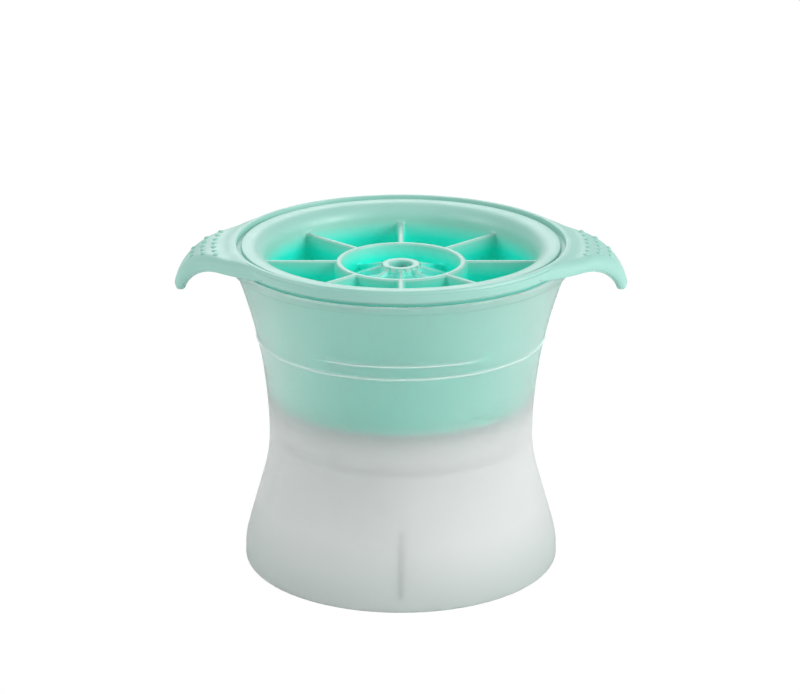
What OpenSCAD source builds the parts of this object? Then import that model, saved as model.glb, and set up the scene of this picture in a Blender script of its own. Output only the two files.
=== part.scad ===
// Mould for one ice ball: a frosted cup with the lower half of the ball,
// and a soft cap that plugs into it and holds the upper half.
// Millimetres, +Z up. The origin is the centre of the foot, on the table.
// The grips point along X. The cap is shown pushed home.

/* [Overall] */
// Height from the table to the top of the cap
total_h = 80; // [76:1:90]
// Diameter of the ice ball
ball_d = 58; // [50:0.5:59]
// Height of the ball's centre, where the two halves meet
ball_z = 41.5; // [38:0.5:44]

/* [Cup wall] */
// Outer diameter at the foot
foot_d = 76.6; // [74:0.2:82]
// Outer diameter of the wall's curve at the cup's top
mouth_d = 80.8; // [78:0.2:86]
// How far the waist stands out beyond the ball
waist_out = 3; // [2.9:0.1:4]
// Height of the waist
waist_z = 32; // [29:0.5:34]
// Radius of the hollow curve just below the waist
waist_round = 36; // [28:1:44]
// Radius of the bulging curve at the foot
foot_round = 23; // [16:1:28]
// Height at which the foot is widest
foot_z = 1.7; // [1:0.1:3]
// Rounding of the foot's bottom edge
foot_edge = 0.8; // [0.3:0.1:0.9]
// Thickness of the cup's wall
cup_wall = 1.5; // [1.2:0.1:1.6]

/* [Cup rim] */
// How far the rim stands out from the wall
rim_out = 1; // [0.5:0.05:1.4]
// Height of the cup's rim
cup_rim_h = 1.8; // [1.2:0.1:3]
// Rounding of the rim's edges
cup_rim_edge = 0.4; // [0.2:0.1:0.5]

/* [Bowl and its stand] */
// Thickness of the bowl's wall
bowl_wall = 1.8; // [1.4:0.1:2.2]
// Height up to which the space outside the bowl is open from below
hollow_top = 31; // [24:0.5:31.5]
// Outer diameter of the support collar below the bowl
collar_d = 26.6; // [20:0.2:34]
// Wall of the support collar
collar_wall = 1.5; // [1:0.1:2.5]
// Clearance of collar and stiffeners above the table
collar_lift = 0.6; // [0.3:0.1:2]
// Number of stiffeners between the collar and the wall
stiffener_count = 4; // [3:1:8]
// Thickness of a stiffener
stiffener_t = 1.4; // [1:0.1:2]
// Height of the stiffeners' lower edge, above the collar's
stiffener_rise = 2.4; // [0.5:0.1:5]
// Height of the stiffeners' upper edge
stiffener_top = 18; // [14:0.5:24]

/* [Fill lines] */
// Height of the long fill line
fill_z = 56.9; // [50:0.1:59]
// Height of the short line above the fill line
mark_rise = 3.3; // [2:0.1:6]
// Angle that the short line spans
mark_angle = 60; // [20:1:120]
// Width of a line
line_w = 0.7; // [0.4:0.1:1.2]
// How far a line stands out from the wall
line_out = 0.25; // [0.1:0.05:0.3]

/* [Cap flange] */
// How far the flange stands out beyond the cup's rim
flange_over = 0.1; // [0.1:0.1:2]
// Thickness of the flange without its bead
flange_t = 2.2; // [1.6:0.1:2.6]
// Rounding of the flange's outer edges
flange_edge = 0.5; // [0.2:0.1:0.7]
// Height of the bead on the flange
bead_h = 0.7; // [0.5:0.1:1.2]
// Width of the bead
bead_w = 1.3; // [1:0.1:1.8]
// Step between the bead and the flange's outer edge
bead_inset = 0.3; // [0.1:0.1:0.6]
// Rounding of the bead's top
bead_edge = 0.3; // [0.1:0.05:0.45]
// Height of the neck between the flange and the cup's rim
land_h = 1; // [0.6:0.1:2]
// How far the neck lies inside the cup's rim
land_inset = 1; // [0.5:0.1:1.3]

/* [Cap lip and basin] */
// How far the lip lies below the bead's top
lip_drop = 0.6; // [0.4:0.1:1.2]
// Distance from the plug's outer wall in to the lip's inner edge
lip_in = 2.1; // [1.6:0.1:3]
// Width of the groove between bead and lip
groove_w = 1.1; // [0.5:0.1:1.2]
// Depth of that groove below the lip
groove_deep = 0.4; // [0.2:0.1:0.8]
// Radius of the shoulder from the lip into the basin
shoulder_round = 4; // [2.5:0.1:5]
// Depth of the basin below the lip
basin_deep = 27.4; // [24:0.2:28]
// Clearance between the plug and the cup's wall
plug_gap = 0.3; // [0.2:0.05:0.4]
// Wall of the plug at the basin's floor
plug_wall = 2.2; // [1.8:0.1:2.6]
// Thickness of the dome over the ball
dome_wall = 2.2; // [1.8:0.1:2.8]

/* [Cap ribs] */
// Number of ribs, and of spokes inside the ring
rib_count = 8; // [4:1:12]
// Thickness of a rib
rib_t = 1.4; // [1:0.1:2]
// How far the ribs and the ring lie below the lip
rib_drop = 4.5; // [3:0.1:6]
// Outer diameter of the ring
ring_d = 31.2; // [24:0.2:38]
// Wall of the ring
ring_wall = 1.5; // [0.8:0.1:2]
// Outer diameter of the hub
hub_d = 9.4; // [7.6:0.1:12]
// How far the hub's top lies below the ribs
hub_drop = 0.7; // [0.2:0.1:1]
// Diameter of the fill hole
hole_d = 5.4; // [4.4:0.1:6]
// Thickness of a spoke
spoke_t = 1.2; // [0.8:0.1:1.6]
// How far a spoke's top starts below the hub's
spoke_drop = 0.5; // [0.2:0.1:0.8]
// Slope of the spokes' tops, in degrees
spoke_slope = 17.4; // [8:0.2:19]

/* [Grips] */
// Length of a grip's flat part, from the flange to the hook
grip_flat = 2.3; // [1.5:0.1:5]
// Length of the level stretch of a grip's underside, outside the flange
under_flat = 0.4; // [0.2:0.1:1.2]
// Width of a grip where it leaves the rim
grip_root_w = 42; // [38:1:50]
// Radius of a grip's nose, seen from above
nose_round = 8.2; // [6:0.1:10]
// Radius of the hook's outer curve
hook_round = 11.3; // [10:0.1:12.5]
// Angle through which the hook turns down
hook_turn = 81; // [74:1:88]
// Rounding along the sides of a grip's flat part
side_round = 1.8; // [0.5:0.1:2.4]
// Thickness of a grip at its root
grip_t = 3.2; // [2.8:0.1:4]
// Thickness of a grip at its tip
tip_t = 2.8; // [2.4:0.1:3.4]
// Diameter of a grip dot
dot_d = 1.3; // [0.8:0.1:1.6]
// How far a grip dot stands out
dot_out = 0.4; // [0.2:0.05:0.5]
// Distance between the dots of a row
dot_pitch = 3.2; // [2.4:0.1:3.6]
// Distance between the rows of dots
dot_row_step = 2.65; // [2:0.05:2.8]
// Distance from the rim to the first row of dots
dot_start = 3.8; // [2.5:0.1:4.5]
// Number of dots in the row nearest the rim
dot_first_row = 7; // [5:2:9]

/* [Hidden] */
$fn = 180;
ball_r = ball_d / 2;
foot_r = foot_d / 2;
waist_r = ball_r + waist_out;
// levels of the cap, from the top down
lip_z = total_h - lip_drop;
rib_z = lip_z - rib_drop;
hub_z = rib_z - hub_drop;
floor_z = lip_z - basin_deep;
deck_z = total_h - bead_h;
flange_z = deck_z - flange_t;
cup_top = flange_z - land_h;
// the long curve above the waist runs through the waist and the cup's mouth
flare_w = mouth_d / 2 - waist_r;
flare_round = (pow(flare_w, 2) + pow(cup_top - waist_z, 2)) / (2 * flare_w);
flare_c = [waist_r + flare_round, waist_z];
cup_rim_r = wall_r(cup_top - cup_rim_h) + rim_out;
flange_r = cup_rim_r + flange_over;
// the flank that joins the two curves below the waist is their common tangent
foot_c = [foot_r - foot_round, foot_z];
waist_c = [waist_r + waist_round, waist_z];
flank_v = waist_c - foot_c;
flank_lean = atan2(flank_v[1], flank_v[0]) - acos((waist_round + foot_round) / norm(flank_v));
flank_n = [cos(flank_lean), sin(flank_lean)];
// the basin's wall is the tangent from its floor to the shoulder's curve
bead_in = flange_r - bead_inset - bead_w;
shoulder_c = [mouth_d / 2 - cup_wall - plug_gap - lip_in, lip_z - shoulder_round];
basin_foot = [wall_r(floor_z) - cup_wall - plug_gap - plug_wall, floor_z];
basin_lean = tangent_lean(basin_foot, shoulder_c, shoulder_round);
basin_end = shoulder_c + shoulder_round * [-cos(basin_lean), sin(basin_lean)];
// curves of the hook, seen from the side: the lower one starts level, just outside the
// flange, and ends at the tip's inner side
grip_reach = flange_r + grip_flat + hook_round;
hook_c = [grip_reach - hook_round, deck_z - hook_round];
hook_end = [sin(hook_turn), cos(hook_turn)];
tip_c = hook_c + (hook_round - tip_t / 2) * hook_end;
tip_in = hook_c + (hook_round - tip_t) * hook_end;
under_z = deck_z - grip_t;
under_out = tip_in[0] - flange_r - under_flat;
under_drop = under_z - tip_in[1];
under_round = (pow(under_out, 2) + pow(under_drop, 2)) / (2 * under_drop);
under_c = [flange_r + under_flat, under_z - under_round];
// the grip's sides, seen from above, run from the flange's edge to the nose's curve
nose_c = [grip_reach - nose_round, 0];
grip_root = [sqrt(pow(flange_r, 2) - pow(grip_root_w / 2, 2)), grip_root_w / 2];
side_v = nose_c - grip_root;
side_lean = atan2(-side_v[1], side_v[0]) - asin(nose_round / norm(side_v));
// the rounding along a grip's side meets top and side at a slight angle, so that it
// ends cleanly where the hook's curve runs out of it
side_c = 1.3 * side_round;
side_r = norm([side_c, side_c - side_round]);
// how deep a piece is sunk into the one that it grows from
weld = 1;
// height of anything that cuts past the whole part
tall = 2 * total_h;

// outer radius of the cup's wall at a height above the waist
function wall_r(z) = flare_c[0] - sqrt(pow(flare_round, 2) - pow(z - waist_z, 2));

// angle from the vertical of the line from p that touches the circle c on its near side
function tangent_lean(p, c, r) = atan2(c[0] - p[0], c[1] - p[1]) - asin(r / norm(c - p));

// a band of the half plane between two heights
module band(low, high) {
  translate([0, low]) square([flange_r, high - low]);
}

// all that lies inside the cup's outer wall, moved inwards by inset
module inside_wall(inset) {
  foot_t = foot_c + (foot_round - inset) * flank_n;
  waist_t = waist_c - (waist_round + inset) * flank_n;
  difference() {
    union() {
      polygon([
        [0, 0], [foot_r - inset, 0], [foot_r - inset, foot_z], foot_t,
        waist_t, [waist_t[0], waist_z], [cup_rim_r, waist_z], [cup_rim_r, cup_top], [0, cup_top]
      ]);
      intersection() {
        translate(foot_c) circle(foot_round - inset);
        band(foot_z, foot_t[1]);
      }
    }
    intersection() {
      translate(waist_c) circle(waist_round + inset);
      band(waist_t[1], cup_top);
    }
    intersection() {
      translate(flare_c) circle(flare_round + inset);
      band(waist_z, cup_top);
    }
  }
}

// a band with both outer edges rounded
module round_band(inner_r, outer_r, low, high, edge) {
  translate([inner_r, low + edge]) square([outer_r - inner_r, high - low - 2 * edge]);
  translate([inner_r, low]) square([outer_r - edge - inner_r, high - low]);
  translate([outer_r - edge, low + edge]) circle(edge);
  translate([outer_r - edge, high - edge]) circle(edge);
}

// one raised line on the wall, as a round bead with its centre inside the wall
module line_section(z) {
  half = line_w / 2;
  bead_r = (pow(half, 2) + pow(line_out, 2)) / (2 * line_out);
  translate([wall_r(z) + line_out - bead_r, z]) circle(bead_r);
}

// the cup's section, to be turned round the axis
module cup_section() {
  difference() {
    union() {
      difference() {
        inside_wall(0);
        translate([foot_r - foot_edge, 0]) square(foot_edge);
      }
      translate([foot_r - foot_edge, foot_edge]) circle(foot_edge);
      round_band(wall_r(cup_top) - cup_wall, cup_rim_r, cup_top - cup_rim_h, cup_top, cup_rim_edge);
      intersection() {
        line_section(fill_z);
        band(fill_z - line_w, fill_z + line_w);
      }
    }
    // room for the plug
    intersection() {
      inside_wall(cup_wall);
      band(ball_z, cup_top);
    }
    // lower half of the ball
    intersection() {
      translate([0, ball_z]) circle(ball_r);
      square([ball_r, ball_z]);
    }
    // open space below, round the bowl and the collar
    difference() {
      intersection() {
        inside_wall(cup_wall);
        band(0, hollow_top);
      }
      translate([0, ball_z]) circle(ball_r + bowl_wall);
      translate([collar_d / 2 - collar_wall, collar_lift]) square([collar_wall, ball_z - collar_lift]);
    }
  }
}

// one stiffener: it follows the bowl and the wall from inside
module stiffener() {
  low = collar_lift + stiffener_rise;
  rotate([90, 0, 0]) linear_extrude(stiffener_t, center = true) difference() {
    intersection() {
      inside_wall(cup_wall / 2);
      translate([collar_d / 2 - collar_wall / 2, low]) square([foot_r, stiffener_top - low]);
    }
    translate([0, ball_z]) circle(ball_r + bowl_wall / 2);
  }
}

module base_cup() {
  color([0.86, 0.91, 0.89, 0.6]) {
    rotate_extrude() cup_section();
    for (i = [0 : stiffener_count - 1]) {
      rotate([0, 0, 90 + i * 360 / stiffener_count]) stiffener();
    }
    rotate([0, 0, -90 - mark_angle / 2]) rotate_extrude(angle = mark_angle) difference() {
      line_section(fill_z + mark_rise);
      inside_wall(cup_wall / 2);
    }
  }
}

// the open basin of the cap, above the dome
module basin_section() {
  difference() {
    union() {
      // over the lip and in the groove
      translate([0, lip_z]) square([bead_in, tall]);
      translate([bead_in - groove_w, lip_z - groove_deep]) square([groove_w, tall]);
      difference() {
        polygon([
          [0, floor_z], basin_foot, basin_end,
          [shoulder_c[0], basin_end[1]], [shoulder_c[0], lip_z], [0, lip_z]
        ]);
        translate(shoulder_c) circle(shoulder_round);
      }
    }
    translate([0, ball_z]) circle(ball_r + dome_wall);
  }
}

// the cap's section, to be turned round the axis
module cap_section() {
  difference() {
    union() {
      difference() {
        union() {
          intersection() {
            inside_wall(cup_wall + plug_gap);
            band(ball_z, cup_top);
          }
          translate([0, cup_top]) square([cup_rim_r - land_inset, land_h + weld]);
          round_band(0, flange_r, flange_z, deck_z, flange_edge);
          round_band(0, flange_r - bead_inset, deck_z - bead_edge, total_h, bead_edge);
        }
        basin_section();
      }
      // ring and hub
      translate([ring_d / 2 - ring_wall, ball_z]) square([ring_wall, rib_z - ball_z]);
      translate([0, ball_z]) square([hub_d / 2, hub_z - ball_z]);
    }
    translate([0, ball_z]) circle(ball_r);
    square([hole_d / 2, tall]);
  }
}

// a web that stands on the dome, from its side outline
module web(thick) {
  rotate([90, 0, 0]) linear_extrude(thick, center = true) difference() {
    children();
    translate([0, ball_z]) circle(ball_r + dome_wall / 2);
  }
}

// outline of a rib, sunk into the ring and into the plug's wall
module rib_outline() {
  start = (ring_d - ring_wall) / 2;
  out = weld * [cos(basin_lean), -sin(basin_lean)];
  low = basin_foot + out;
  high = low + (rib_z - low[1]) * [tan(basin_lean), 1];
  polygon([[start, floor_z], low, high, [start, rib_z]]);
}

// outline of a spoke, from inside the hub down to the ring
module spoke_outline() {
  start = (hub_d + hole_d) / 4;
  end = (ring_d - ring_wall) / 2;
  top = hub_z - spoke_drop;
  fall = (end - hub_d / 2) * tan(spoke_slope);
  polygon([[start, floor_z], [end, floor_z], [end, top - fall], [hub_d / 2, top], [start, top]]);
}

// a grip's outline seen from the side, with its hook and round tip
module hook_outline() {
  difference() {
    union() {
      intersection() {
        translate(hook_c) circle(hook_round);
        translate(hook_c) polygon([[0, 0], [0, 2 * hook_round], 2 * hook_round * hook_end]);
      }
      translate([0, hook_c[1]]) square([hook_c[0], hook_round]);
      translate(tip_c) circle(tip_t / 2);
    }
    translate([0, under_z - tall]) square([under_c[0], tall]);
    translate(under_c) circle(under_round);
  }
}

// a grip's outline seen from above: straight sides that touch the nose's curve
module grip_plan() {
  touch = nose_c + nose_round * [sin(side_lean), cos(side_lean)];
  polygon([grip_root, touch, [touch[0], -touch[1]], [grip_root[0], -grip_root[1]]]);
  translate(nose_c) circle(nose_round);
}

// what the rounding takes off the upper edge of the grip's left side
module side_rounding() {
  translate([grip_root[0], grip_root[1], deck_z]) rotate([0, 0, -side_lean]) rotate([90, 0, 90])
    translate([0, 0, -weld]) linear_extrude(norm(nose_c - grip_root) + weld) difference() {
      translate([-side_c, -side_c]) square(2 * side_c);
      translate([-side_c, -side_c]) circle(side_r);
    }
}

// height of the grip's top at a distance along X
function deck_at(x) = hook_c[1] + sqrt(pow(hook_round, 2) - pow(max(0, x - hook_c[0]), 2));

// rows of round dots, each row two shorter than the one before
module grip_dots() {
  dot_r = (pow(dot_d / 2, 2) + pow(dot_out, 2)) / (2 * dot_out);
  for (row = [0 : 2]) {
    row_r = flange_r + dot_start + row * dot_row_step;
    count = dot_first_row - 2 * row;
    for (i = [0 : count - 1]) {
      turn = (i - (count - 1) / 2) * dot_pitch / row_r * 180 / PI;
      x = row_r * cos(turn);
      tilt = asin(max(0, x - hook_c[0]) / hook_round);
      sink = dot_r - dot_out;
      translate([x - sink * sin(tilt), row_r * sin(turn), deck_at(x) - sink * cos(tilt)])
        sphere(dot_r, $fn = 24);
    }
  }
}

// one grip, cut clear of the cup's rim, with its dots
module grip() {
  difference() {
    intersection() {
      rotate([90, 0, 0]) linear_extrude(grip_root_w, center = true) hook_outline();
      linear_extrude(tall) grip_plan();
    }
    // room for the cup's rim below the flange, and for the bead and lip inside
    cylinder(r = flange_r, h = flange_z);
    cylinder(r = flange_r - weld, h = tall);
    side_rounding();
    mirror([0, 1, 0]) side_rounding();
  }
  grip_dots();
}

module silicone_cap() {
  color([0.62, 0.87, 0.8]) {
    rotate_extrude() cap_section();
    for (i = [0 : rib_count - 1]) {
      rotate([0, 0, 90 + i * 360 / rib_count]) {
        web(rib_t) rib_outline();
        web(spoke_t) spoke_outline();
      }
    }
    for (side = [0, 1]) {
      rotate([0, 0, side * 180]) grip();
    }
  }
}

base_cup();
silicone_cap();
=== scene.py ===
import math
import bmesh
import bpy
import numpy as np
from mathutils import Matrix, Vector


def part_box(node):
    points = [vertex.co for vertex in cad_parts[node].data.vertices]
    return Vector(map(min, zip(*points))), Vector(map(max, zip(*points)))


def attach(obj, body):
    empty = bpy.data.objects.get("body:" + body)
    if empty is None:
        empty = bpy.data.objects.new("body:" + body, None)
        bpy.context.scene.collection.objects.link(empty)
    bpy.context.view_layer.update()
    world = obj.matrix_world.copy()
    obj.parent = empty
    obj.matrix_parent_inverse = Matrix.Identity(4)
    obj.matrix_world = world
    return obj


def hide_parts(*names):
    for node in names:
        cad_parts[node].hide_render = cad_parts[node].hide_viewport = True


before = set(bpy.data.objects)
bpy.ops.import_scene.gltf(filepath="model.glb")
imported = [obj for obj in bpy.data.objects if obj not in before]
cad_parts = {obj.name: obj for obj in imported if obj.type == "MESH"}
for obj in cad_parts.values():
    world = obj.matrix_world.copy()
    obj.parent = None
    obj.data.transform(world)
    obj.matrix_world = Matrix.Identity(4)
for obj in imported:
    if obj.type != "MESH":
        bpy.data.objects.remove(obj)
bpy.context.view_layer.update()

# All sizes below are millimetres in the frame's axes. The driving ones are read from the frame's
# own boxes, the rest are this mould's walls, steps and rounds. A name that ends in Z is a height
# over the table, and one that ends in R is a distance from the upright axis of cup and cap.
MM = 0.001
cap_low, cap_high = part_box("silicone_cap")
cup_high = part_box("base_cup")[1]
TOTAL_H = cap_high.z / MM
BALL_Z = cap_low.z / MM
CUP_TOP = cup_high.z / MM
GRIP_REACH = cap_high.x / MM
FLANGE_R = cap_high.y / MM
CUP_RIM_R = cup_high.y / MM

BALL_R = 29.0
BED_GAP = 0.03          # hair's breadth kept where the two pieces lie face to face

# The cup: foot, waist and mouth of the wall, rim flange, collar and stiffeners under the bowl,
# and the two raised fill lines.
FOOT_R, FOOT_ROUND, FOOT_Z, FOOT_EDGE = 38.3, 23.0, 1.7, 0.8
WAIST_R, WAIST_Z, WAIST_ROUND = 32.0, 32.0, 36.0
MOUTH_R = 40.4
CUP_WALL, BOWL_WALL = 1.5, 1.8
RIM_H, RIM_EDGE = 1.8, 0.4
HOLLOW_TOP = 31.0
COLLAR_R, COLLAR_WALL, COLLAR_LIFT = 13.3, 1.5, 0.6
STIFFENERS, STIFFENER_T, STIFFENER_LOW, STIFFENER_TOP = 4, 1.4, 3.0, 18.0
FILL_Z, MARK_Z = 56.9, 60.2
LINE_W, LINE_OUT = 0.7, 0.25
MARK_HALF_ANGLE, MARK_FADE = 30.0, 3.0      # degrees to either side of the front
CUP_SOFT = 0.3                              # width of its softened edges

# The cap: lip, basin, ribs, ring, hub and spokes, flange with bead and groove, plug and dome.
LIP_Z = TOTAL_H - 0.6
RIB_Z = LIP_Z - 4.5
HUB_Z = RIB_Z - 0.7
FLOOR_Z = LIP_Z - 27.4
DECK_Z = TOTAL_H - 0.7
FLANGE_Z = DECK_Z - 2.2
LAND_R = CUP_RIM_R - 1.0
PLUG_GAP, PLUG_WALL, DOME_WALL = 0.3, 2.2, 2.2
BEAD_W, BEAD_INSET = 1.3, 0.3
GROOVE_W, GROOVE_DEEP = 1.1, 0.75
SHOULDER, LIP_IN = 4.0, 2.1
GUTTER = 0.5                                # round in the bottom of the basin
RIBS, RIB_T, SPOKE_T = 8, 1.4, 1.2
RING_R, RING_WALL, HUB_R, HOLE_R = 15.6, 1.5, 4.7, 2.7
SPOKE_DROP, SPOKE_SLOPE = 0.5, 17.4
CAP_SOFT = 0.5
EDGE_ROW = 0.6                              # a row this far from an edge keeps its round narrow

# The grips: a tongue that leaves the flange, bends down round a hook and narrows to its tip.
HOOK_ROUND, HOOK_TURN = 11.3, 81.0
GRIP_T, TIP_T, UNDER_FLAT = 3.2, 2.8, 0.4
ROOT_HALF_W, ROOT_SPREAD = 21.0, 39.0
TONGUE_HALF_W, TIP_HALF_W = 13.8, 2.9       # where the hook starts, and at its end
SIDE_SLOPE, TIP_SLOPE = -0.93, -0.5         # how fast the half width changes there
LOWER_EDGE, SEAM_STEP = 0.4, 0.14
EDGE_STRETCH = 1.6                          # upper edges are wider than high
SIDE_IN, TOP_IN = 0.42, 0.5                 # how far the root reaches into the flange and bead
RISE_OUT, RISE_RUN = 2.2, 3.1               # where the top starts to rise to the bead's crest
CORNER_LIFT = 0.6
HIDDEN_BACK, HIDDEN_IN, HIDDEN_DROP = 0.2, 0.3, 1.0
DOT_R, DOT_OUT, DOT_PITCH, DOT_STEP, DOT_START = 0.65, 0.38, 3.2, 2.65, 3.8
DOT_ROWS = (7, 5, 3)

# The finishes: how far below the lip the basin's painted glow starts and is full, the heights where
# the cup's frost starts to clear and is clear, and the top of the painted shade on its foot.
PAINTED_GLOW_FROM, PAINTED_GLOW_FULL = 4.2, 8.2
FROST_Z, CLEAR_Z, PAINTED_SHADE_FOOT_Z = 36.0, 44.0, 16.0

PHOTO_W = 800           # pixels


# Curves

def arc(centre, radius, start, end, steps):
    """Points on a circle from one angle to the other, in degrees from +r towards +z."""
    a = np.radians(np.linspace(start, end, steps + 1))
    return np.column_stack([centre[0] + radius * np.cos(a), centre[1] + radius * np.sin(a)])


def rounded(corners, radii, steps=4):
    """A polyline whose corners are replaced by tangent arcs of the given radii."""
    corners = np.asarray(corners, float)
    out = [corners[:1]]
    for before, corner, after, radius in zip(corners, corners[1:], corners[2:], radii):
        a = (before - corner) / np.linalg.norm(before - corner)
        b = (after - corner) / np.linalg.norm(after - corner)
        half = math.acos(np.clip(a @ b, -1, 1)) / 2
        middle = corner + (a + b) / np.linalg.norm(a + b) * radius / math.sin(half)
        first = corner + a * radius / math.tan(half) - middle
        last = corner + b * radius / math.tan(half) - middle
        t = np.linspace(0, 1, steps + 1)[:, None]
        angle = math.acos(np.clip(first @ last / radius ** 2, -1, 1))
        swing = np.sin((1 - t) * angle) * first + np.sin(t * angle) * last
        out.append(middle + swing / math.sin(angle))
    out.append(corners[-1:])
    return np.vstack(out)


def joined(stretches):
    """Stacks a profile's named stretches, and gives the first and last row of each."""
    rows, start = {}, 0
    for name, points in stretches.items():
        rows[name] = (start, start + len(points) - 1)
        start += len(points)
    return np.vstack(list(stretches.values())), rows


FOOT_C = np.array([FOOT_R - FOOT_ROUND, FOOT_Z])
WAIST_C = np.array([WAIST_R + WAIST_ROUND, WAIST_Z])
FLARE_W = MOUTH_R - WAIST_R
FLARE_ROUND = (FLARE_W ** 2 + (CUP_TOP - WAIST_Z) ** 2) / (2 * FLARE_W)
FLANK = WAIST_C - FOOT_C
FLANK_LEAN = (math.atan2(FLANK[1], FLANK[0])
              - math.acos((WAIST_ROUND + FOOT_ROUND) / np.linalg.norm(FLANK)))


def wall_r(z, inset=0.0):
    """Radius of the cup's wall curve at a height: an upright foot, a bulging foot circle, a
    straight flank that touches it and the hollow waist circle, and one long flare circle up to
    the mouth."""
    z = np.asarray(z, float)
    foot_r, waist_r, flare_r = FOOT_ROUND - inset, WAIST_ROUND + inset, FLARE_ROUND + inset
    foot_t = FOOT_C + foot_r * np.array([math.cos(FLANK_LEAN), math.sin(FLANK_LEAN)])
    waist_t = WAIST_C - waist_r * np.array([math.cos(FLANK_LEAN), math.sin(FLANK_LEAN)])
    foot = FOOT_C[0] + np.sqrt(np.maximum(foot_r ** 2 - np.clip(z - FOOT_Z, 0, None) ** 2, 0))
    flank = foot_t[0] - (z - foot_t[1]) * math.tan(FLANK_LEAN)
    waist = WAIST_C[0] - np.sqrt(waist_r ** 2 - np.clip(z - WAIST_Z, -waist_r, 0) ** 2)
    flare = WAIST_R + FLARE_ROUND - np.sqrt(flare_r ** 2 - np.clip(z - WAIST_Z, 0, None) ** 2)
    return np.select([z < foot_t[1], z < waist_t[1], z < WAIST_Z], [foot, flank, waist], flare)


def wall_points(z, inset=0.0):
    """Points of the cup's wall curve, or of one that lies inside it, at the given heights."""
    return np.column_stack([wall_r(z, inset), z])


def on_sphere(radius, r):
    """Height of the upper half of a sphere about the ball's centre, at a distance r from the
    axis."""
    return BALL_Z + np.sqrt(radius ** 2 - np.asarray(r, float) ** 2)


# Meshes

def turn_profile(profile, web_half, webs, between, first_gap=0.55, least_r=5.0):
    """Turns a closed (r, z) profile round the axis. Each of the equal sectors has one narrow column
    as wide as a web, centred on the web, and evenly spread columns in the rest of the sector, so
    that the web's flanks fall on columns at every radius. The columns next to a flank are at least
    first_gap away. Returns the points as rows by columns by xyz."""
    r, z = profile[:, 0], profile[:, 1]
    sector = 2 * math.pi / webs
    safe = np.maximum(r, least_r)
    half = np.arcsin(web_half / safe)
    room = sector - 2 * half
    first = np.maximum(room / between, first_gap / safe)
    k = np.arange(between - 1)
    inner = first[:, None] + (room - 2 * first)[:, None] * k / (between - 2)
    local = np.column_stack([np.zeros_like(r), inner, room]) + half[:, None]
    angles = local[:, None, :] + sector * np.arange(webs)[None, :, None]
    angles = angles.reshape(len(r), -1)
    return np.stack([r[:, None] * np.cos(angles), r[:, None] * np.sin(angles),
                     np.broadcast_to(z[:, None], angles.shape)], axis=2)


def grid_quads(rows, columns, skip=None, close_rows=True):
    """Quads between neighbouring rows and columns, without those marked in skip. The grid closes
    from its last column to its first, and from its last row to its first if close_rows is set."""
    last_row = rows if close_rows else rows - 1
    i, j = np.meshgrid(np.arange(last_row), np.arange(columns), indexing="ij")
    next_i, next_j = (i + 1) % rows, (j + 1) % columns
    quads = np.stack([i * columns + j, i * columns + next_j,
                      next_i * columns + next_j, next_i * columns + j], axis=2).reshape(-1, 4)
    return quads if skip is None else quads[~skip.reshape(-1)]


def web_faces(columns, webs, runs):
    """Faces of the upright webs. runs are the stretches of rows along which a web grows from the
    turned surface. The two flanks are flat polygons through all those rows, and a strip closes
    each gap between the end of one stretch and the start of the next."""
    faces = []
    rows = np.concatenate([np.arange(first, last + 1) for first, last in runs])
    for right in range(0, columns, columns // webs):
        left = (right - 1) % columns
        faces.append(list(rows * columns + right))
        faces.append(list(rows[::-1] * columns + left))
        for (_, end), (start, _) in zip(runs, runs[1:] + runs[:1]):
            faces.append([end * columns + left, end * columns + right,
                          start * columns + right, start * columns + left])
    return faces


def turned_faces(points, webs, web_runs, closed=True):
    """Faces of a turned profile: quads between neighbours, but none in the narrow column between a
    web's flanks where the web grows, and the faces of the webs. web_runs has the runs of each web.
    A profile that starts and ends on the axis isn't closed from its last row to its first."""
    rows, columns = points.shape[:2]
    per_sector = columns // webs
    skip = np.zeros((rows, columns), bool)
    for runs in web_runs:
        for first, last in runs:
            skip[first:last, per_sector - 1::per_sector] = True
    skip[-1] |= not closed
    faces = grid_quads(rows, columns, skip).tolist()
    for runs in web_runs:
        faces += web_faces(columns, webs, runs)
    return faces


def make_object(name, points, faces, weld=2e-6):
    """A mesh object from points in millimetres, with doubled points welded and faces turned
    outwards. weld is in metres."""
    mesh = bpy.data.meshes.new(name)
    mesh.from_pydata((points * MM).tolist(), [], faces)
    work = bmesh.new()
    work.from_mesh(mesh)
    bmesh.ops.remove_doubles(work, verts=work.verts, dist=weld)
    bmesh.ops.recalc_face_normals(work, faces=work.faces)
    work.to_mesh(mesh)
    work.free()
    mesh.polygons.foreach_set("use_smooth", np.ones(len(mesh.polygons), bool))
    mesh.update()
    piece = bpy.data.objects.new(name, mesh)
    bpy.context.scene.collection.objects.link(piece)
    return piece


def one_piece(name, shells):
    """One object from several shells, each its points and faces."""
    start, points, faces = 0, [], []
    for shell_points, shell_faces in shells:
        points.append(shell_points)
        faces += [[int(i) + start for i in face] for face in shell_faces]
        start += len(shell_points)
    return make_object(name, np.vstack(points), faces)


def read_array(items, key, width, kind):
    """One value or vector per item of a Blender collection, as rows."""
    values = np.empty(len(items) * width, kind)
    items.foreach_get(key, values)
    return values.reshape(-1, width) if width > 1 else values


def points_of(piece):
    """The piece's points in millimetres, as x, y and z."""
    return read_array(piece.data.vertices, "co", 3, np.float32).T / MM


def set_attribute(piece, name, values):
    """Stores one number per point for the piece's material."""
    stored = piece.data.attributes.new(name, "FLOAT", "POINT")
    stored.data.foreach_set("value", np.asarray(values, np.float32))


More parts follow.
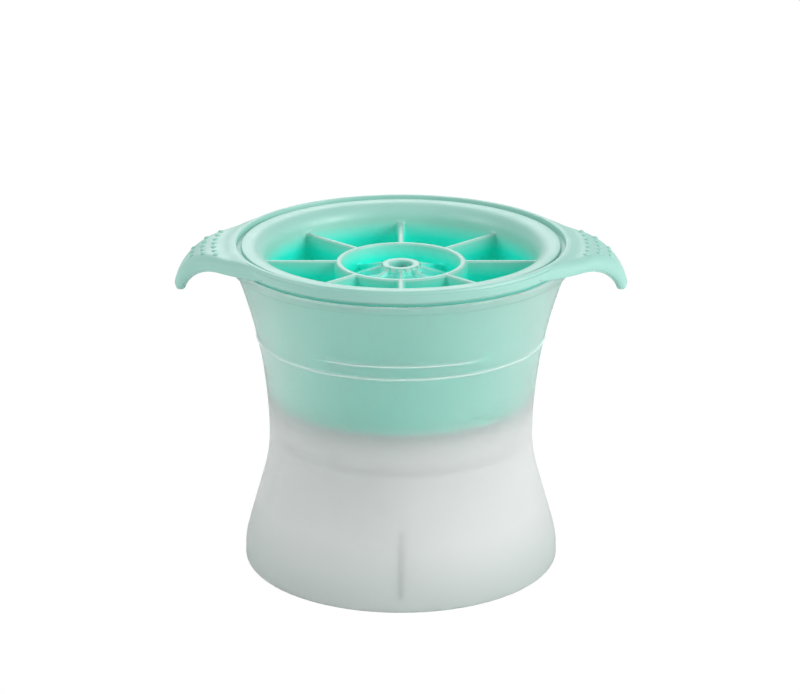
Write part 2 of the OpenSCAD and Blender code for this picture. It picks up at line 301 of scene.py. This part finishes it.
def soften_edges(piece, width, where, steps=3, sharper_than=30.0):
    """Rounds the sharp edges for which where(r, z) holds at the middle, in millimetres. An edge is
    sharp where its faces' normals add up to less than twice the cosine of half the angle."""
    mesh = piece.data
    counts = read_array(mesh.polygons, "loop_total", 1, np.int32)
    normals = read_array(mesh.polygons, "normal", 3, np.float32)
    edges_of = read_array(mesh.loops, "edge_index", 1, np.int32)
    ends = read_array(mesh.edges, "vertices", 2, np.int32)
    owner = np.repeat(np.arange(len(counts)), counts)
    total = np.zeros((len(mesh.edges), 3))
    np.add.at(total, edges_of, normals[owner])
    sharp = np.linalg.norm(total, axis=1) < 2 * math.cos(math.radians(sharper_than / 2))
    x, y, z = points_of(piece)[:, ends].mean(axis=2)
    weight = (sharp & where(np.hypot(x, y), z)).astype(np.float32)
    mesh.attributes.new("bevel_weight_edge", "FLOAT", "EDGE").data.foreach_set("value", weight)
    bevel = piece.modifiers.new("soft_edges", "BEVEL")
    bevel.limit_method = "WEIGHT"
    bevel.width = width * MM
    bevel.segments = steps
    bevel.use_clamp_overlap = False
    bevel.harden_normals = True


# The frosted cup

def line_bump(z, at):
    """How far a raised line stands out: a low circular bead, LINE_W wide and LINE_OUT high."""
    half = LINE_W / 2
    bead = (half ** 2 + LINE_OUT ** 2) / (2 * LINE_OUT)
    return np.clip(np.sqrt(np.clip(bead ** 2 - (z - at) ** 2, 0, None)) - bead + LINE_OUT, 0, None)


def raise_lines(points, wall):
    """Moves the wall's rows out along the raised lines: a full ring, and a short one that fades out
    at either side of the front."""
    band = points[wall[0]:wall[1] + 1]
    x, y, z = band[..., 0], band[..., 1], band[..., 2]
    front = np.degrees(np.abs(np.arctan2(x, -y)))
    short = np.clip((MARK_HALF_ANGLE + MARK_FADE / 2 - front) / MARK_FADE, 0, 1)
    out = line_bump(z, FILL_Z) + line_bump(z, MARK_Z) * short
    band[..., :2] *= (1 + out / np.hypot(x, y))[..., None]


def cup_profile():
    """The cup's profile: over the ball's bowl, up the inside of the mouth, over the rim, down the
    outside, under the foot, up inside the stand, round the bowl's back and down the collar."""
    centre = (0, BALL_Z)
    bowl_out = BALL_R + BOWL_WALL
    ledge = BALL_Z - BED_GAP
    low = CUP_TOP - RIM_H
    collar_in = COLLAR_R - COLLAR_WALL

    def bowl_angle(z):
        return math.degrees(math.asin((z - BALL_Z) / bowl_out))

    def bowl_z(r):
        return BALL_Z - math.sqrt(bowl_out ** 2 - r ** 2)

    ball_top = math.degrees(math.asin((ledge - BALL_Z) / BALL_R))
    mouth = wall_points(np.linspace(ledge, CUP_TOP, 22), CUP_WALL)
    rim = rounded([mouth[-1], (CUP_RIM_R, CUP_TOP), (CUP_RIM_R, low), (float(wall_r(low)), low),
                   (float(wall_r(low - 1)), low - 1)], [RIM_EDGE, RIM_EDGE, 0.25])
    lines = np.linspace(-0.51, 0.51, 9) * LINE_W
    z = np.concatenate([np.linspace(low - 2, FOOT_Z, 54), FILL_Z + lines, MARK_Z + lines])
    foot = rounded([(FOOT_R, FOOT_Z), (FOOT_R, 0), (FOOT_R - CUP_WALL, 0),
                    (FOOT_R - CUP_WALL, FOOT_Z)], [FOOT_EDGE, 0.3], 5)
    stiffener_z = np.linspace(STIFFENER_LOW, STIFFENER_TOP, 9)
    stand_z = np.linspace(STIFFENER_TOP, HOLLOW_TOP, 8)
    high, join = bowl_angle(STIFFENER_TOP), bowl_angle(bowl_z(COLLAR_R))
    return joined({
        "bowl": arc(centre, BALL_R, -90, ball_top, 30),
        "mouth": mouth,
        "rim": rim[1:],
        "wall": wall_points(np.unique(z.round(4))[::-1]),
        "foot": foot[1:-1],
        "foot_inside": wall_points(np.array([1.0, STIFFENER_LOW]), CUP_WALL),
        "stiffener_wall": wall_points(stiffener_z[1:], CUP_WALL),
        "stand": wall_points(stand_z[1:], CUP_WALL),
        "bowl_back": arc(centre, bowl_out, bowl_angle(HOLLOW_TOP), high, 9),
        "stiffener_bowl": arc(centre, bowl_out, high, join, 7)[1:],
        "collar_outside": np.array([(COLLAR_R, STIFFENER_LOW), (COLLAR_R, COLLAR_LIFT)]),
        "collar_edge": np.array([(collar_in, COLLAR_LIFT)]),
        "bowl_bottom": arc(centre, bowl_out, bowl_angle(bowl_z(collar_in)), -90, 9),
    })


def frosted_cup():
    """The whole cup: its profile turned round the axis, two raised lines on its wall, and four
    upright stiffeners between wall, bowl and collar."""
    profile, rows = cup_profile()
    points = turn_profile(profile, STIFFENER_T / 2, STIFFENERS, 24)
    raise_lines(points, rows["wall"])
    stiffener = [(rows["foot_inside"][1], rows["stiffener_wall"][1]),
                 (rows["bowl_back"][1], rows["collar_outside"][0])]
    faces = turned_faces(points, STIFFENERS, [stiffener], closed=False)
    piece = make_object("frosted_cup", points.reshape(-1, 3), faces)

    x, y, z = points_of(piece)
    # how far the wall stands out on the raised lines, where the material paints a white highlight
    stands_out = np.clip((np.hypot(x, y) - wall_r(z)) / LINE_OUT, 0, 1)
    near_lines = np.abs(z - (FILL_Z + MARK_Z) / 2) < 3      # and so not the rim flange
    set_attribute(piece, "painted_line_highlight", stands_out ** 2 * near_lines)
    soften_edges(piece, CUP_SOFT, lambda r, z: (z < HOLLOW_TOP + 1) | (r < WAIST_R + 1))
    return piece


# The silicone cap

def basin_lines():
    """The basin's straight wall: its foot, its lean from the upright, and the shoulder's centre."""
    shoulder = np.array([MOUTH_R - CUP_WALL - PLUG_GAP - LIP_IN, LIP_Z - SHOULDER])
    foot = np.array([float(wall_r(FLOOR_Z)) - CUP_WALL - PLUG_GAP - PLUG_WALL, FLOOR_Z])
    run = shoulder - foot
    lean = math.atan2(run[0], run[1]) - math.asin(SHOULDER / np.linalg.norm(run))
    return foot, lean, shoulder


def basin_gutter(foot, lean, dome):
    """The round in the bottom of the basin: a circle that touches the dome and the straight wall,
    found where a line beside the wall meets a sphere round the dome."""
    along = np.array([math.sin(lean), math.cos(lean)])
    inward = np.array([-along[1], along[0]])
    start = foot + inward * GUTTER - (0, BALL_Z)
    b, c = start @ along, start @ start - (dome + GUTTER) ** 2
    centre = start + along * (-b + math.sqrt(b * b - c)) + (0, BALL_Z)
    to_dome = math.degrees(math.atan2(BALL_Z - centre[1], -centre[0])) % 360
    return arc(centre, GUTTER, to_dome, 360 - math.degrees(lean), 8)


def cap_profile():
    """The cap's closed profile without its grips: from the fill hole over hub, dome, ring and
    basin, over lip, groove, bead and flange, down the plug and back up the inside of the ball."""
    dome = BALL_R + DOME_WALL
    ring_in = RING_R - RING_WALL
    foot, lean, shoulder = basin_lines()
    gutter = basin_gutter(foot, lean, dome)

    def wall_at(z):
        return np.column_stack([foot[0] + (z - foot[1]) * math.tan(lean), z])

    spoke_in = HUB_Z - SPOKE_DROP
    spoke_out = spoke_in - (ring_in - HUB_R) * math.tan(math.radians(SPOKE_SLOPE))
    r = np.concatenate([[HUB_R, HUB_R + EDGE_ROW], np.linspace(HUB_R + 1.3, ring_in - 1.3, 8),
                        [ring_in - EDGE_ROW, ring_in]])

    # angles on the dome outside the ring, in radians, with closer rows at its edges
    low = math.asin((gutter[0, 1] - BALL_Z) / dome)
    high = math.acos(RING_R / dome)
    a = np.concatenate([[high, high - 0.02], np.linspace(high - 0.05, low + 0.03, 16),
                        [low + 0.012]])
    basin_z = np.linspace(gutter[-1, 1] + EDGE_ROW, RIB_Z - EDGE_ROW, 9)

    round_over = arc(shoulder, SHOULDER, 180 - math.degrees(lean), 90, 14)
    bead_out = FLANGE_R - BEAD_INSET
    bead_in = bead_out - BEAD_W
    groove, groove_z = bead_in - GROOVE_W, LIP_Z - GROOVE_DEEP
    seat = CUP_TOP + BED_GAP
    rim = rounded([round_over[-1], (groove, LIP_Z), (groove, groove_z), (bead_in, groove_z),
                   (bead_in, TOTAL_H), (bead_out - 0.2, TOTAL_H), (bead_out, DECK_Z - 0.05),
                   (FLANGE_R, DECK_Z - 0.12), (FLANGE_R, FLANGE_Z), (LAND_R, FLANGE_Z),
                   (LAND_R, seat)], [0.3, 0.15, 0.17, 0.34, 0.45, 0.12, 0.12, 0.5, 0.1])
    ball_top = math.degrees(math.acos(HOLE_R / BALL_R))
    return joined({
        "hub": np.array([(HOLE_R, HUB_Z), (HUB_R, HUB_Z), (HUB_R, spoke_in)]),
        "small_dome": np.column_stack([r, on_sphere(dome, r)]),
        "ring": np.array([(ring_in, spoke_out), (ring_in, RIB_Z), (RING_R, RIB_Z)]),
        "big_dome": np.column_stack([dome * np.cos(a), BALL_Z + dome * np.sin(a)]),
        "gutter": gutter,
        "basin": wall_at(np.append(basin_z, RIB_Z)),
        "brim": wall_at(np.array([RIB_Z + EDGE_ROW])),
        "round_over": round_over,
        "rim": rim[1:],
        "plug": wall_points(np.linspace(seat, BALL_Z, 22), CUP_WALL + PLUG_GAP),
        "ball": arc((0, BALL_Z), BALL_R, 0, ball_top, 30),
    })


def cap_body():
    """The cap without its grips: its profile turned round the axis, with eight ribs outside the
    ring and eight spokes inside it."""
    profile, rows = cap_profile()
    spokes = (rows["hub"][1], rows["ring"][0])
    ribs = (rows["ring"][1], rows["basin"][1])
    web_half = np.full(len(profile), RIB_T / 2)
    web_half[:spokes[1] + 1] = SPOKE_T / 2
    points = turn_profile(profile, web_half, RIBS, 12)
    return points.reshape(-1, 3), turned_faces(points, RIBS, [[spokes], [ribs]])


def grip_half_width(s):
    """Half the tongue's width at a distance s along its outer curve: straight sides that draw in
    towards the tip, a cubic between the slopes at the flat part and near the tip."""
    run = HOOK_ROUND * math.radians(HOOK_TURN)
    t = np.clip(s / run, 0, 1)
    return ((2 * t ** 3 - 3 * t ** 2 + 1) * TONGUE_HALF_W
            + (t ** 3 - 2 * t ** 2 + t) * (SIDE_SLOPE * run)
            + (3 * t ** 2 - 2 * t ** 3) * TIP_HALF_W + (t ** 3 - t ** 2) * (TIP_SLOPE * run))


def grip_rows():
    """The tongue's rows, each as three numbers: how far along the flat part from 0 to 1, how far
    round the hook, and how far round the closing end, both in radians. The first row lies inside
    the flange, a little before 0."""
    turn = math.radians(HOOK_TURN)
    flat = np.concatenate([[-HIDDEN_BACK], np.linspace(0, 1, 9)])
    bend = np.linspace(0, turn, 25)[1:]
    close = np.radians(np.linspace(0, 90, 9))[1:]
    return (np.concatenate([flat, np.ones(len(bend) + len(close))]),
            np.concatenate([np.zeros(len(flat)), bend, np.full(len(close), turn)]),
            np.concatenate([np.zeros(len(flat) + len(bend)), close]))


def underside(hook, v_flat, v_turn):
    """How far the grip's underside is from the hook's centre, along each row: a level stretch at
    the flange, then a circle flatter than the hook's that ends at the tip's inner side."""
    turn = math.radians(HOOK_TURN)
    tip_in = hook + (HOOK_ROUND - TIP_T) * np.array([math.sin(turn), math.cos(turn)])
    level_z = DECK_Z - GRIP_T
    out, drop = tip_in[0] - FLANGE_R - UNDER_FLAT, level_z - tip_in[1]
    radius = (out ** 2 + drop ** 2) / (2 * drop)
    centre = np.array([FLANGE_R + UNDER_FLAT, level_z - radius])
    off = centre - hook
    near = off[0] * np.sin(v_turn) + off[1] * np.cos(v_turn)
    bent = near + np.sqrt(radius ** 2 - off @ off + near ** 2)
    x = FLANGE_R + (hook[0] - FLANGE_R) * v_flat
    flat = centre[1] + np.sqrt(radius ** 2 - np.clip(x - centre[0], 0, None) ** 2) - hook[1]
    return np.where(v_flat < 1, flat, bent)


def grip_section(width, thick, upper):
    """Each row's closed section, as distances y from the grip's middle and h over its underside:
    large soft upper edges, a fine step where the halves of the tool met, and small lower edges.
    The half on the +y side runs from the middle of the top to the middle of the base."""
    flat, inset = width - EDGE_STRETCH * upper, width - LOWER_EDGE - SEAM_STEP
    ones = np.ones_like(width)
    q = np.radians(np.linspace(0, 90, 10))[1:]
    seam = np.minimum(thick, GRIP_T) / GRIP_T
    p = np.radians(np.linspace(0, 90, 5))
    half_y = np.hstack([np.outer(flat, np.linspace(0, 1, 9)),
                        flat[:, None] + np.outer(EDGE_STRETCH * upper, np.sin(q)),
                        width[:, None] - np.array([0.0, 0.0, SEAM_STEP]),
                        inset[:, None] + LOWER_EDGE * np.cos(p),
                        np.outer(inset, np.linspace(1, 0, 9)[1:])])
    half_h = np.hstack([np.outer(thick, np.ones(9)),
                        (thick - upper)[:, None] + np.outer(upper, np.cos(q)),
                        np.outer(seam, np.array([0.78, 0.72, 0.64])),
                        np.outer(ones, LOWER_EDGE - LOWER_EDGE * np.sin(p)),
                        np.outer(ones, np.zeros(8))])
    return np.hstack([half_y, -half_y[:, -2:0:-1]]), np.hstack([half_h, half_h[:, -2:0:-1]])


def root_shape(hook, x, y, z, u, share, v_flat, v_turn):
    """Carries the flat part of a grip into the flange. u runs across it from -1 to 1, and share is
    the height in its section from 0 to 1. Each point follows a quadratic curve from the flange's
    circle to the hook, whose outermost one leaves the circle along its tangent. The top rises to
    the bead's crest and the underside's corners rise to the flange's."""
    spread = math.radians(ROOT_SPREAD)
    v = np.clip(v_flat, 0, 1)[:, None]
    near = 1 - v
    hidden = v_flat[:, None] < 0

    # 1 on the top, 0 from half a millimetre below it
    upper_side = np.clip((z - DECK_Z + 0.5) / 0.4, 0, 1)
    root_r = (FLANGE_R - SIDE_IN * np.clip((z - FLANGE_Z) / 0.6, 0, 1) - TOP_IN * upper_side
              - HIDDEN_IN * hidden)

    # the corner where the flange's tangent meets the line of the tongue's straight side
    tangent = np.array([math.sin(spread), -math.cos(spread)])
    root = FLANGE_R * np.array([math.cos(spread), math.sin(spread)])
    side = np.array([1.0, SIDE_SLOPE])
    to_corner = np.linalg.solve(np.column_stack([tangent, side]), (hook[0], TONGUE_HALF_W) - root)
    corner = root + to_corner[0] * tangent

    middle = (FLANGE_R + hook[0]) / 2
    mid_x = middle + (corner[0] - middle) * u ** 2
    curve_x = near ** 2 * root_r * np.cos(u * spread) + 2 * near * v * mid_x + v ** 2 * hook[0]
    curve_y = (near ** 2 * root_r * np.sin(u * spread) + 2 * near * v * corner[1] * u
               + v ** 2 * TONGUE_HALF_W * u)
    flat_part = v_turn[:, None] == 0
    x, y = np.where(flat_part, curve_x, x), np.where(flat_part, curve_y, y)

    fall = np.clip((FLANGE_R + RISE_OUT - np.hypot(x, y)) / RISE_RUN, 0, 1)
    crest = (TOTAL_H - DECK_Z) * fall ** 2 * (3 - 2 * fall) * (1 - u ** 8)
    z = z + (crest - HIDDEN_DROP * hidden) * upper_side
    corner_rise = GRIP_T - DECK_Z + FLANGE_Z + CORNER_LIFT
    z = z + corner_rise * near ** 2 * u ** 2 * (1 - np.clip(share, 0, 1))
    return np.stack([x, y, z], axis=2)


def grip_surface():
    """One grip, pointing along +X: a rounded section carried from the flange's edge outwards and
    down round the hook. Its thickness is the distance between the hook's circle and the underside.
    Past the hook's end the section closes on a quarter circle, on its own middle line."""
    hook = np.array([GRIP_REACH - HOOK_ROUND, DECK_Z - HOOK_ROUND])
    v_flat, v_turn, v_close = grip_rows()
    inner = underside(hook, v_flat, v_turn)
    thick = HOOK_ROUND - inner
    end_round = thick[-1] / 2
    width = grip_half_width(HOOK_ROUND * v_turn)
    width = width + (1 - np.clip(v_flat, 0, 1)) * (ROOT_HALF_W - TONGUE_HALF_W)
    width = width - (1 - np.cos(v_close)) * min(end_round * 1.2, width[-1] * 0.8)

    # the upper edges grow from a quarter of the thickness at the root to three quarters
    upper = (0.25 + 0.5 * np.clip(v_flat * 1.6, 0, 1)) * thick
    upper = np.minimum(upper, width * 0.7) * np.maximum(np.cos(v_close), 0.05)
    y, h = grip_section(width, thick, upper)

    middle = (thick / 2)[:, None]
    h = middle + (h - middle) * np.cos(v_close)[:, None]
    advance = (end_round * np.sin(v_close))[:, None]
    reach = inner[:, None] + h
    sin, cos = np.sin(v_turn)[:, None], np.cos(v_turn)[:, None]
    x = hook[0] + reach * sin + advance * cos
    z = hook[1] + reach * cos - advance * sin
    u = y / np.maximum(width, 1e-6)[:, None]
    points = root_shape(hook, x, y, z, u, h / thick[:, None], v_flat, v_turn)

    # both ends are closed by quads across the section, from its +y half and its -y half
    rows, columns = points.shape[:2]
    half = columns // 2
    i = np.arange(half // 2)
    right = np.column_stack([i, i + 1, half - 1 - i, half - i])
    end_faces = np.vstack([right, (columns - right) % columns])
    faces = np.vstack([grid_quads(rows, columns, close_rows=False), end_faces,
                       end_faces + (rows - 1) * columns])
    return points.reshape(-1, 3), faces.tolist()


def dot_surfaces():
    """Grip dots of one grip: low round studs in three arcs, each a squashed ball half sunk into the
    tongue and tilted with it."""
    hook_x = GRIP_REACH - HOOK_ROUND
    place = []
    for row, count in enumerate(DOT_ROWS):
        ring = FLANGE_R + DOT_START + row * DOT_STEP
        turn = (np.arange(count) - (count - 1) / 2) * DOT_PITCH / ring
        place.append(np.column_stack([ring * np.cos(turn), ring * np.sin(turn)]))
    place = np.vstack(place)
    tilt = np.arcsin(np.clip(place[:, 0] - hook_x, 0, None) / HOOK_ROUND)
    height = DECK_Z - HOOK_ROUND + HOOK_ROUND * np.cos(tilt)
    a = np.radians(np.linspace(0, 180, 9))[:, None]
    b = np.radians(np.arange(0, 360, 30))[None, :]
    ball = np.stack([DOT_R * np.sin(a) * np.cos(b), DOT_R * np.sin(a) * np.sin(b),
                     DOT_OUT * np.cos(a) + 0 * b], axis=2)
    quads = grid_quads(*ball.shape[:2], close_rows=False)
    ball = ball.reshape(-1, 3)
    s, c = np.sin(tilt)[:, None], np.cos(tilt)[:, None]
    x = place[:, :1] + ball[None, :, 0] * c + ball[None, :, 2] * s
    y = place[:, 1:] + ball[None, :, 1]
    z = height[:, None] - ball[None, :, 0] * s + ball[None, :, 2] * c
    faces = (quads[None] + (np.arange(len(place)) * len(ball))[:, None, None]).reshape(-1, 4)
    return np.stack([x, y, z], axis=2).reshape(-1, 3), faces.tolist()


def mark_painted_teal_zones(piece):
    """Marks the points that get painted teal: those in the basin, above the dome and inside the
    straight wall, for the painted glow, and those on the plug, which sits in the cup's mouth, for
    painted shade."""
    x, y, z = points_of(piece)
    r = np.hypot(x, y)
    foot, lean = basin_lines()[:2]

    # a tenth or two of slack takes in the points that lie on the wall, dome and plug themselves
    inside = r < foot[0] + (z - foot[1]) * math.tan(lean) + 0.2
    above = (np.hypot(r, z - BALL_Z) > BALL_R + DOME_WALL - 0.1) & (z > BALL_Z)
    basin = inside & above
    set_attribute(piece, "basin", basin)
    # the plug below the flange is painted a darker teal in the material: painted shade
    set_attribute(piece, "plug", (~basin & (r < LAND_R + 0.1)) * np.clip(FLANGE_Z - z, 0, 1))


def silicone_cap():
    """The whole cap: body, two grips and their dots, as one piece, with the edges in the basin
    softened."""
    shells = [cap_body()]
    for points, faces in (grip_surface(), dot_surfaces()):
        shells += [(points, faces), (points * (-1, -1, 1), faces)]
    piece = one_piece("mint_cap", shells)
    mark_painted_teal_zones(piece)
    soften_edges(piece, CAP_SOFT, lambda r, z: (r < 33.5) & (z < TOTAL_H - 1))
    return piece


# Finishes

def new_material(name):
    """An empty node material, its node tree and its output."""
    material = bpy.data.materials.new(name)
    material.use_nodes = True
    tree = material.node_tree
    tree.nodes.clear()
    return material, tree, tree.nodes.new("ShaderNodeOutputMaterial")


def new_node(tree, kind, **values):
    """A node with the given inputs set. An underscore in an input's name stands for a space."""
    node = tree.nodes.new(kind)
    for name, value in values.items():
        node.inputs[name.replace("_", " ")].default_value = value
    return node


def noise(tree, scale, detail=3.0):
    """A noise pattern on the piece's own coordinates, in features per metre."""
    place = new_node(tree, "ShaderNodeTexCoord")
    pattern = new_node(tree, "ShaderNodeTexNoise", Scale=scale, Detail=detail, Roughness=0.5)
    tree.links.new(place.outputs["Object"], pattern.inputs["Vector"])
    return pattern.outputs["Fac"]


def ramp(tree, source, low, high, a, b):
    """Maps a value from low..high to a..b, clamped."""
    node = new_node(tree, "ShaderNodeMapRange", From_Min=low, From_Max=high, To_Min=a, To_Max=b)
    tree.links.new(source, node.inputs["Value"])
    return node.outputs["Result"]


def drift(tree, scale, a=0.0, b=1.0):
    """A slow random change from a to b over the piece."""
    return ramp(tree, noise(tree, scale), 0.3, 0.7, a, b)


def blend_colours(tree, factor, a, b):
    """Colour a where the factor is 0 and b where it is 1. Each is a colour or a socket."""
    node = tree.nodes.new("ShaderNodeMix")
    node.data_type = "RGBA"
    tree.links.new(factor, node.inputs["Factor"])
    for socket, value in ((node.inputs[6], a), (node.inputs[7], b)):
        if isinstance(value, bpy.types.NodeSocket):
            tree.links.new(value, socket)
        else:
            socket.default_value = (*value, 1)
    return node.outputs[2]


def grain(tree, shader, scale, strength, distance, detail=4.0):
    """Fine bump from a noise pattern, its distance in metres."""
    bump = new_node(tree, "ShaderNodeBump", Strength=strength, Distance=distance)
    tree.links.new(noise(tree, scale, detail), bump.inputs["Height"])
    tree.links.new(bump.outputs["Normal"], shader.inputs["Normal"])


def from_srgb(r, g, b):
    """Linear colour of an 8-bit display colour."""
    c = np.array([r, g, b]) / 255
    return tuple(np.where(c < 0.04045, c / 12.92, ((c + 0.055) / 1.055) ** 2.4).tolist())


def combine(tree, operation, *values):
    """One value from several sockets, joined two by two by a math operation."""
    result = values[0]
    for value in values[1:]:
        node = tree.nodes.new("ShaderNodeMath")
        node.operation = operation
        tree.links.new(result, node.inputs[0])
        tree.links.new(value, node.inputs[1])
        result = node.outputs[0]
    return result


def attribute(tree, name):
    """A number stored on the piece's points."""
    node = tree.nodes.new("ShaderNodeAttribute")
    node.attribute_name = name
    return node.outputs["Fac"]


def upright_part(tree, kind, output):
    """The z of a position or a normal."""
    source, split = new_node(tree, kind), new_node(tree, "ShaderNodeSeparateXYZ")
    tree.links.new(source.outputs[output], split.inputs[0])
    return split.outputs["Z"]


def mint_silicone():
    """Soft matt silicone: mint all through. The brighter, fuller teal deep in the basin is a
    painted glow, standing in for light that bounces and passes through the silicone there, and the
    plug inside the cup's wall gets painted shade, a darker teal. The upward rib and ring tops keep
    the paler mint of the open faces. A faint drift of tone, a soft satin sheen and very fine skin."""
    material, tree, output = new_material("mint_silicone")
    shader = new_node(tree, "ShaderNodeBsdfPrincipled", IOR=1.41, Specular_IOR_Level=1.0)
    tone = drift(tree, 45.0)
    open_tone = blend_colours(tree, tone, from_srgb(160, 217, 204), from_srgb(168, 221, 209))
    # painted glow: a brighter, fuller teal deep in the basin, in place of light bouncing through
    # the silicone
    painted_glow_tone = blend_colours(tree, tone, from_srgb(30, 252, 231), from_srgb(42, 253, 234))
    # painted shade: a darker teal for the plug, which sits inside the cup's wall
    painted_plug_shade = from_srgb(60, 202, 181)

    height = upright_part(tree, "ShaderNodeTexCoord", "Object")
    # upward faces near the rib and ring tops are left out of the painted glow, so they stay pale
    # like lit tops
    level = ramp(tree, upright_part(tree, "ShaderNodeNewGeometry", "Normal"), 0.15, 0.6, 0.0, 1.0)
    depth = ramp(tree, height, (LIP_Z - PAINTED_GLOW_FROM) * MM, (LIP_Z - PAINTED_GLOW_FULL) * MM, 0.0, 1.0)
    rib_top = ramp(tree, height, (RIB_Z - 3.0) * MM, (RIB_Z - 1.5) * MM, 0.0, 1.0)
    flanks = ramp(tree, combine(tree, "MULTIPLY", level, rib_top), 0.0, 1.0, 1.0, 0.0)
    basin = attribute(tree, "basin")
    # where the painted glow goes: deep in the basin, but not on the upward tops near the ribs
    painted_glow_mask = combine(tree, "MULTIPLY", depth, basin, flanks)
    painted_glow_and_shade_mask = combine(tree, "MAXIMUM", painted_glow_mask, attribute(tree, "plug"))
    painted_glow_and_shade_tone = blend_colours(tree, basin, painted_plug_shade, painted_glow_tone)
    tree.links.new(blend_colours(tree, painted_glow_and_shade_mask, open_tone, painted_glow_and_shade_tone), shader.inputs["Base Color"])
    tree.links.new(drift(tree, 220.0, 0.37, 0.46), shader.inputs["Roughness"])
    grain(tree, shader, 1800.0, 0.12, 0.0002)
    tree.links.new(shader.outputs["BSDF"], output.inputs["Surface"])
    return material


def frosted_plastic():
    """Frosted polypropylene: milky, lets light through and blurs what lies behind it. The etch is
    denser below the mouth. The raised lines are painted white and less see-through, a painted
    highlight, and the foot is painted greyer towards the bottom, painted shade."""
    material, tree, output = new_material("frosted_plastic")
    shader = new_node(tree, "ShaderNodeBsdfPrincipled", IOR=1.4)
    height = upright_part(tree, "ShaderNodeTexCoord", "Object")
    # painted highlight: the raised lines are painted white and less see-through
    line = attribute(tree, "painted_line_highlight")
    # painted shade: the cup is painted greyer towards the foot
    foot = ramp(tree, height, PAINTED_SHADE_FOOT_Z * MM, 0.0, 0.0, 1.0)
    milky, milkier = from_srgb(244, 248, 247), from_srgb(249, 251, 250)
    tone = blend_colours(tree, drift(tree, 30.0), milky, milkier)
    tone = blend_colours(tree, foot, tone, from_srgb(214, 223, 220))
    tone = blend_colours(tree, line, tone, from_srgb(255, 255, 255))
    clear = combine(tree, "MINIMUM", ramp(tree, height, FROST_Z * MM, CLEAR_Z * MM, 0.45, 0.88),
                    ramp(tree, line, 0.0, 1.0, 0.88, 0.35))
    tree.links.new(clear, shader.inputs["Transmission Weight"])
    tree.links.new(tone, shader.inputs["Base Color"])
    tree.links.new(drift(tree, 160.0, 0.74, 0.82), shader.inputs["Roughness"])
    grain(tree, shader, 2500.0, 0.08, 0.0002)
    tree.links.new(shader.outputs["BSDF"], output.inputs["Surface"])
    return material


# The two pieces, each in the place of its node

cup = frosted_cup()
cup.data.materials.append(frosted_plastic())
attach(cup, "cup")
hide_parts("base_cup")

cap = silicone_cap()
cap.data.materials.append(mint_silicone())
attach(cap, "cap")
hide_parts("silicone_cap")


# Stage, light and camera

def seen_or_lit(tree, seen, lit):
    """Joins two shaders: seen for camera, mirror and see-through rays, lit for all other light."""
    path = new_node(tree, "ShaderNodeLightPath")
    rays = [path.outputs[f"Is {kind} Ray"] for kind in ("Camera", "Glossy", "Transmission")]
    mix = new_node(tree, "ShaderNodeMixShader")
    tree.links.new(combine(tree, "MAXIMUM", *rays), mix.inputs["Fac"])
    tree.links.new(lit, mix.inputs[1])
    tree.links.new(seen, mix.inputs[2])
    return mix.outputs[0]


def white_floor():
    """A wide pale floor that keeps the object's shadow and otherwise reads as the white
    backdrop."""
    half = 4000.0
    corners = [(-half, -half, 0), (half, -half, 0), (half, half, 0), (-half, half, 0)]
    floor = make_object("floor", np.array(corners, float), [[0, 1, 2, 3]])
    material, tree, output = new_material("white_floor")
    paper = new_node(tree, "ShaderNodeBsdfDiffuse", Color=(0.9, 0.9, 0.9, 1))
    glow = new_node(tree, "ShaderNodeEmission", Strength=1.02)
    share = new_node(tree, "ShaderNodeMixShader", Fac=0.95)
    tree.links.new(paper.outputs[0], share.inputs[1])
    tree.links.new(glow.outputs[0], share.inputs[2])
    surface = seen_or_lit(tree, share.outputs[0], paper.outputs[0])
    tree.links.new(surface, output.inputs["Surface"])
    floor.data.materials.append(material)
    return floor


def studio_world():
    """White behind the object, and a dimmer even fill on it."""
    world = bpy.data.worlds.new("studio")
    world.use_nodes = True
    tree = world.node_tree
    tree.nodes.clear()
    output = tree.nodes.new("ShaderNodeOutputWorld")
    backdrop = new_node(tree, "ShaderNodeBackground", Strength=1.0)
    fill = new_node(tree, "ShaderNodeBackground", Strength=0.46)
    surface = seen_or_lit(tree, backdrop.outputs[0], fill.outputs[0])
    tree.links.new(surface, output.inputs["Surface"])
    return world


def soft_lamp(name, place, power, size=0.5, target=(0, 0, 0.045)):
    """A square area lamp that faces the target, in metres and watts."""
    data = bpy.data.lights.new(name, "AREA")
    data.size = size
    data.energy = power
    lamp = bpy.data.objects.new(name, data)
    bpy.context.scene.collection.objects.link(lamp)
    aim = np.array(target) - np.array(place)
    tilt = math.acos(-aim[2] / np.linalg.norm(aim))
    lamp.location = place
    lamp.rotation_euler = (tilt, 0, math.atan2(aim[1], aim[0]) - math.pi / 2)


def photo_camera():
    """A long lens in front of the mould and about 19 degrees over it, in metres and degrees, as the
    photo's ellipses ask for. The shift is one pixel of the photo."""
    data = bpy.data.cameras.new("camera")
    data.sensor_width = 36.0
    data.lens = 122.23
    data.shift_x = -1 / PHOTO_W
    camera = bpy.data.objects.new("camera", data)
    camera.location = (0.0, -0.62044, 0.26606)
    camera.rotation_euler = (math.radians(90 - 18.949), 0, 0)
    bpy.context.scene.collection.objects.link(camera)
    return camera


white_floor()
bpy.context.scene.world = studio_world()
soft_lamp("key", (0.8, -0.35, 0.42), 5.5)
soft_lamp("left", (-0.8, -0.25, 0.5), 2.5)
soft_lamp("back", (-0.1, 0.75, 0.55), 2.1)
bpy.context.scene.camera = photo_camera()
bpy.context.scene.view_settings.view_transform = "Standard"
